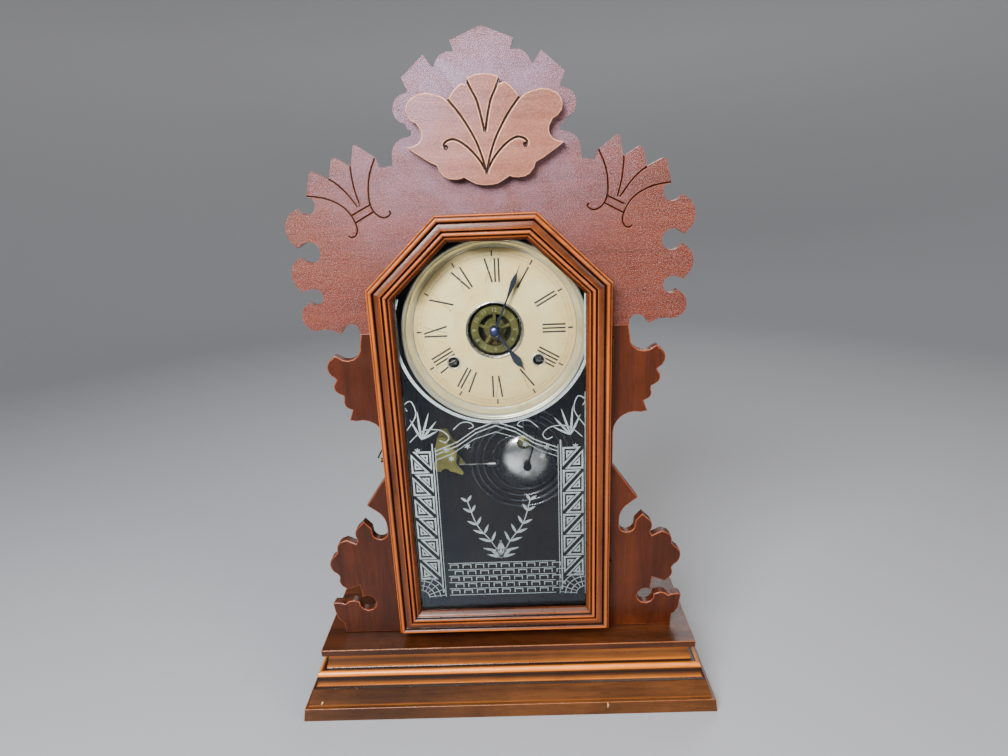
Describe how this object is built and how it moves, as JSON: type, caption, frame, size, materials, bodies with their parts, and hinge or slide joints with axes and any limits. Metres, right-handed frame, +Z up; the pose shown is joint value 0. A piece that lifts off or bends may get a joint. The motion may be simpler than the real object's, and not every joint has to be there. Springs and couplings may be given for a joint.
{
  "type": "gingerbread kitchen shelf clock",
  "caption": "Wooden kitchen shelf clock with fretted side boards and crest, glazed swinging door, Roman dial, coil gong, bell, pendulum and alarm.",
  "frame": {"origin": "centre of the base on the shelf plane, at the bounding box bottom centre", "axes": "+Z up, front of the clock facing -Y, +X to the right as seen from the front"},
  "size_m": [0.3706, 0.125, 0.562],
  "materials": {
    "crest_wood": "varnished, fine orange peel, worn edges",
    "board_wood": "varnished, worn",
    "door_wood": "varnished, bright worn beads",
    "base_wood": "varnished walnut, worn golden bead",
    "ornament_wood": "satin varnish, cut grooves",
    "case_wood": "dull stained pine",
    "glass": "clear, white etched border",
    "brass": "aged, dull",
    "pale_brass": "bright, lightly tarnished",
    "paper": "aged cream, printed numerals",
    "blued_steel": "blued",
    "steel": "dull",
    "nickel": "polished, lightly spotted",
    "cast_iron": "black japanned"
  },
  "bodies": {
    "case": {"crest_board": "crest_wood", "side_board_left": "board_wood", "side_board_right": "board_wood", "plinth": "base_wood", "base_moulding_front": "base_wood", "base_moulding_left": "base_wood", "base_moulding_right": "base_wood", "deck_board": "base_wood", "crest_ornament": "ornament_wood", "back_panel": "case_wood", "case_side_left": "case_wood", "case_side_right": "case_wood", "case_top": "case_wood", "front_bottom_rail": "case_wood", "dial_rail_left": "case_wood", "dial_rail_right": "case_wood", "hinge_upper_case_leaf": "brass", "hinge_lower_case_leaf": "brass", "movement_front_plate": "brass", "movement_rear_plate": "brass", "alarm_movement": "brass", "bezel": "pale_brass", "dial_paper": "paper", "latch_screw": "steel", "dial_pan": "steel", "mainspring_time": "steel", "mainspring_strike": "steel", "gong_coil": "steel", "bell": "nickel", "gong_base": "cast_iron"},
    "minute": {"centre_arbor": "steel", "minute_hand": "blued_steel"},
    "minute_wheel": {"minute_wheel": "brass"},
    "hour": {"hour_wheel": "brass", "hour_hand": "blued_steel"},
    "alarm_disc": {"alarm_disc": "brass"},
    "second_wheel": {"second_wheel": "brass"},
    "great_wheel_time": {"great_wheel_time": "brass"},
    "great_wheel_strike": {"great_wheel_strike": "brass"},
    "strike_wheel": {"strike_wheel": "brass"},
    "winding_arbor_time": {"winding_arbor_time": "steel"},
    "winding_arbor_strike": {"winding_arbor_strike": "steel"},
    "escape_wheel": {"escape_wheel": "brass"},
    "verge": {"verge": "steel"},
    "pendulum": {"pendulum_rod": "steel", "pendulum_bob": "brass"},
    "strike_hammer": {"strike_hammer": "cast_iron"},
    "alarm_hammer": {"alarm_hammer": "steel"},
    "latch_hook": {"latch_hook": "brass"},
    "door": {"door_stile_left": "door_wood", "door_stile_right": "door_wood", "door_rail_top": "door_wood", "door_rail_bottom": "door_wood", "door_chamfer_left": "door_wood", "door_chamfer_right": "door_wood", "door_glass": "glass", "glass_retainer": "door_wood", "hinge_upper_door_leaf": "brass", "hinge_lower_door_leaf": "brass", "latch_stud": "brass"}
  },
  "joints": [
    {"name": "door_swing", "type": "hinge", "parent": "case", "child": "door", "pos_m": [0.0944, -0.0192, 0.2], "axis": [0, 0, 1], "range_deg": [0, 95]},
    {"name": "hook_swing", "type": "hinge", "parent": "case", "child": "latch_hook", "pos_m": [-0.0978, -0.013, 0.2372], "axis": [1, 0, 0], "range_deg": [0, 270]},
    {"name": "minute_turn", "type": "hinge", "parent": "case", "child": "minute", "pos_m": [0, 0, 0.3407], "axis": [0, 1, 0], "continuous": true},
    {"name": "minute_wheel_turn", "type": "hinge", "parent": "case", "child": "minute_wheel", "pos_m": [0, 0, 0.3287], "axis": [0, 1, 0], "continuous": true},
    {"name": "hour_turn", "type": "hinge", "parent": "case", "child": "hour", "pos_m": [0, 0, 0.3407], "axis": [0, 1, 0], "continuous": true},
    {"name": "alarm_set", "type": "hinge", "parent": "hour", "child": "alarm_disc", "pos_m": [0, 0, 0.3407], "axis": [0, 1, 0], "continuous": true},
    {"name": "second_wheel_turn", "type": "hinge", "parent": "case", "child": "second_wheel", "pos_m": [0.02242, 0, 0.34266], "axis": [0, 1, 0], "continuous": true},
    {"name": "great_wheel_time_turn", "type": "hinge", "parent": "case", "child": "great_wheel_time", "pos_m": [0.0355, 0, 0.314], "axis": [0, 1, 0], "continuous": true},
    {"name": "great_wheel_strike_turn", "type": "hinge", "parent": "case", "child": "great_wheel_strike", "pos_m": [-0.0355, 0, 0.314], "axis": [0, 1, 0], "continuous": true},
    {"name": "strike_wheel_turn", "type": "hinge", "parent": "case", "child": "strike_wheel", "pos_m": [-0.0355, 0, 0.3455], "axis": [0, 1, 0], "continuous": true},
    {"name": "time_winding", "type": "hinge", "parent": "case", "child": "winding_arbor_time", "pos_m": [0.0355, 0, 0.314], "axis": [0, 1, 0], "continuous": true},
    {"name": "strike_winding", "type": "hinge", "parent": "case", "child": "winding_arbor_strike", "pos_m": [-0.0355, 0, 0.314], "axis": [0, 1, 0], "continuous": true},
    {"name": "escape_turn", "type": "hinge", "parent": "case", "child": "escape_wheel", "pos_m": [0.021, 0, 0.3667], "axis": [0, 1, 0], "continuous": true},
    {"name": "verge_rock", "type": "hinge", "parent": "case", "child": "verge", "pos_m": [0.021, 0, 0.3847], "axis": [0, 1, 0], "range_deg": [-3, 3]},
    {"name": "pendulum_swing", "type": "hinge", "parent": "case", "child": "pendulum", "pos_m": [0.021, 0, 0.3927], "axis": [0, 1, 0], "range_deg": [-2.4, 2.4]},
    {"name": "hammer_swing", "type": "hinge", "parent": "case", "child": "strike_hammer", "pos_m": [0.038, 0.02397, 0.284], "axis": [1, 0, 0], "range_deg": [-6, 0]},
    {"name": "alarm_hammer_swing", "type": "hinge", "parent": "case", "child": "alarm_hammer", "pos_m": [-0.042, 0, 0.205], "axis": [0, 1, 0], "range_deg": [-12, 0]}
  ],
  "couplings": [
    {"joint": "minute_wheel_turn", "follows": "minute_turn", "ratio": -0.33333},
    {"joint": "hour_turn", "follows": "minute_turn", "ratio": 0.083333},
    {"joint": "second_wheel_turn", "follows": "minute_turn", "ratio": -0.25},
    {"joint": "great_wheel_time_turn", "follows": "minute_turn", "ratio": 0.041667},
    {"joint": "great_wheel_strike_turn", "follows": "strike_wheel_turn", "ratio": -0.16667},
    {"joint": "verge_rock", "follows": "pendulum_swing", "ratio": 1.2222}
  ]
}
